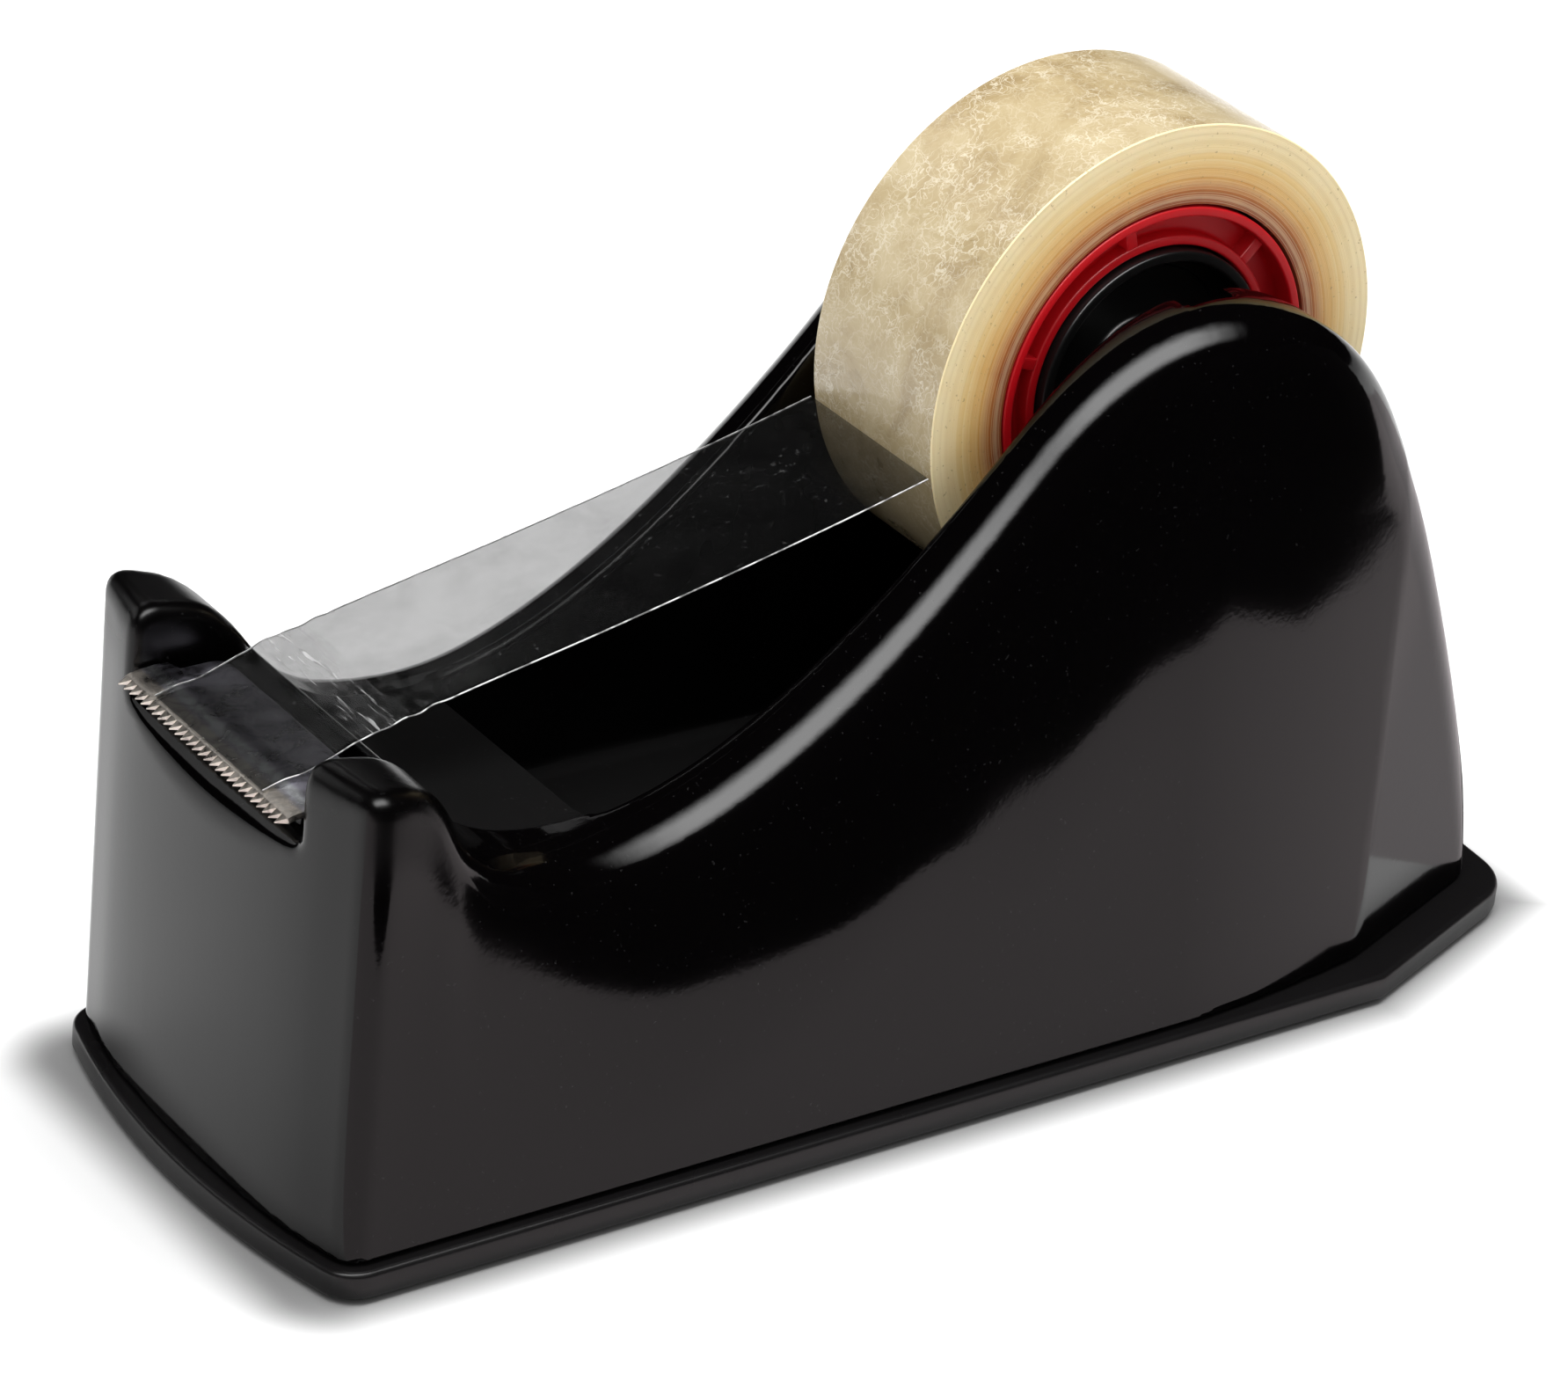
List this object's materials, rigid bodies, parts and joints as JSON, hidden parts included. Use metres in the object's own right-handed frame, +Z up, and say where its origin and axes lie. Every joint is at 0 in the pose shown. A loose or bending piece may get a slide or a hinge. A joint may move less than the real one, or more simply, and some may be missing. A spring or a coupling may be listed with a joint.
{
  "type": "tape dispenser",
  "caption": "Weighted desk dispenser: a saddle-shaped housing holds a tape roll on a lift-out axle behind a serrated cutting blade between two posts.",
  "frame": {"origin": "on the table surface, under the middle of the base plate", "axes": "+X from the blade towards the back, +Y across the dispenser to the left of a user facing the back, +Z up"},
  "size_m": [0.148, 0.0512, 0.0917],
  "materials": {
    "gloss_black": "moulded gloss black with a soft sheen",
    "satin_black": "satin moulded black",
    "blade_steel": "pressed bright steel, lightly mottled",
    "cast_iron": "rough cast",
    "screw_steel": "zinc plated",
    "foot_rubber": "matte rubber",
    "wound_tape": "wound clear tape, cream and slightly see-through",
    "red_plastic": "moulded red",
    "hub_black": "satin moulded black",
    "clear_film": "clear tape film"
  },
  "bodies": {
    "stand": {"housing": "gloss_black", "base_plate": "satin_black", "cutting_blade": "blade_steel", "ballast_front": "cast_iron", "ballast_rear": "cast_iron", "ballast_screw_1": "screw_steel", "ballast_screw_2": "screw_steel", "base_screw_1": "screw_steel", "base_screw_2": "screw_steel", "base_screw_3": "screw_steel", "base_screw_4": "screw_steel", "foot_1": "foot_rubber", "foot_2": "foot_rubber", "foot_3": "foot_rubber", "foot_4": "foot_rubber"},
    "axle": {"axle_rod": "hub_black", "tape_lead": "clear_film"},
    "reel": {"tape_roll": "wound_tape", "tape_core": "red_plastic", "hub_half_near": "hub_black", "hub_half_far": "hub_black"}
  },
  "joints": [
    {"name": "reel_lift", "type": "slide", "parent": "stand", "child": "axle", "axis": [0, 0, 1], "range_m": [0, 0.045]},
    {"name": "reel_spin", "type": "hinge", "parent": "axle", "child": "reel", "pos_m": [0.0229, 0, 0.0662], "axis": [0, 1, 0], "continuous": true}
  ]
}
